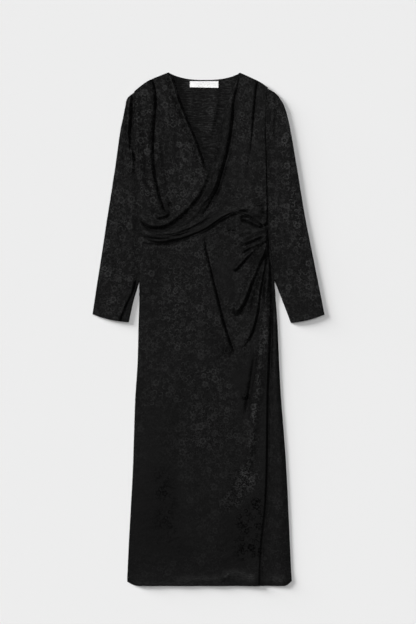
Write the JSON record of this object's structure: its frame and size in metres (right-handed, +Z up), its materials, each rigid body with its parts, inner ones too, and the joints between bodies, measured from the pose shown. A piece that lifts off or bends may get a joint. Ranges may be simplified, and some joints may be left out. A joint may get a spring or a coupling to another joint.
{
  "type": "wrap dress",
  "caption": "Long-sleeved maxi wrap dress laid flat, its over front crossing to a gathered side seam in a soft drape above a straight skirt with one long tuck.",
  "frame": {"origin": "middle of the dress's outline seen from above, on the surface that it lies on", "axes": "+Y from the hem to the neck, +Z up out of the front of the dress, +X towards the wearer's left side"},
  "size_m": [0.634, 1.402, 0.0184],
  "materials": {
    "jacquard": "black satin-ground jacquard with a tone-on-tone flower and leaf weave",
    "label": "plain white woven tape with no marks"
  },
  "bodies": {
    "root": {"bodice_back": "jacquard", "bodice_front_under": "jacquard", "bodice_front_over": "jacquard", "skirt_back": "jacquard", "skirt_front": "jacquard", "sleeve_right": "jacquard", "sleeve_left": "jacquard", "neck_label": "label"}
  },
  "joints": []
}
